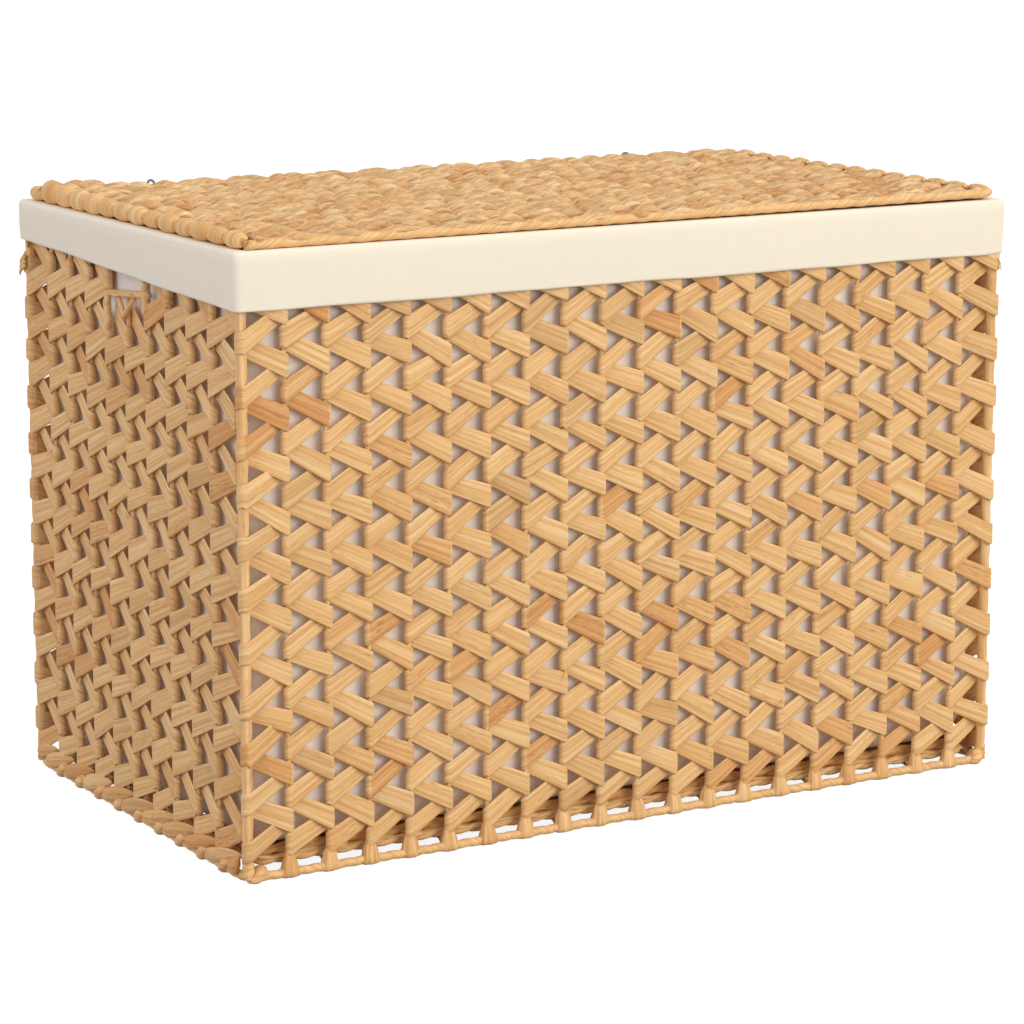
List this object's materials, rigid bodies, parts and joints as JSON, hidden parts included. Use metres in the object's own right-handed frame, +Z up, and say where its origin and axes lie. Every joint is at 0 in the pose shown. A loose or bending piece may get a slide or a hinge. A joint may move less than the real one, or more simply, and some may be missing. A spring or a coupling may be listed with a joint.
{
  "type": "laundry sorter basket",
  "caption": "Woven plant-fibre laundry sorter on a wire frame, with hand holes, a cloth liner in sections folded over the rim, and a woven lid on wire rings.",
  "frame": {"origin": "centre of the footprint on the floor", "axes": "+Z up, -Y towards the front long wall, +X along the length; the hinge rings are on the +Y side"},
  "size_m": [0.7504, 0.4404, 0.5219],
  "materials": {
    "fibre": "dried flat plant-fibre strips, golden straw with brown and grey streaks, satin",
    "lid_fibre": "plump twisted plant-fibre strands, golden straw, satin",
    "cotton": "cream cotton canvas with a fine slub",
    "lining": "cream cotton bag cloth, in the shade of the weave",
    "steel_wire": "dark lacquered steel wire"
  },
  "bodies": {
    "basket": {"base_rail": "fibre", "top_rail": "steel_wire", "corner_post_front_left": "fibre", "corner_post_front_right": "fibre", "corner_post_back_left": "fibre", "corner_post_back_right": "fibre", "base_rib_1": "steel_wire", "base_rib_2": "steel_wire", "base_rib_3": "steel_wire", "base_rib_4": "steel_wire", "base_rib_5": "steel_wire", "base_rib_6": "steel_wire", "base_mat": "fibre", "front_weave": "fibre", "back_weave": "fibre", "left_weave_front": "fibre", "left_weave_back": "fibre", "left_hand_hole_bar": "fibre", "left_rope_border": "fibre", "right_weave_front": "fibre", "right_weave_back": "fibre", "right_hand_hole_bar": "fibre", "right_rope_border": "fibre", "liner_cuff": "cotton", "liner_front": "lining", "liner_back": "lining", "liner_left": "lining", "liner_right": "lining", "liner_floor": "lining", "liner_divider_left": "lining", "liner_divider_right": "lining", "hinge_ring_left": "steel_wire", "hinge_ring_right": "steel_wire"},
    "lid": {"lid_rail": "fibre", "lid_weave": "lid_fibre"}
  },
  "joints": [
    {"name": "lid_hinge", "type": "hinge", "parent": "basket", "child": "lid", "pos_m": [0, 0.2095, 0.5129], "axis": [-1, 0, 0], "range_deg": [0, 170]}
  ]
}
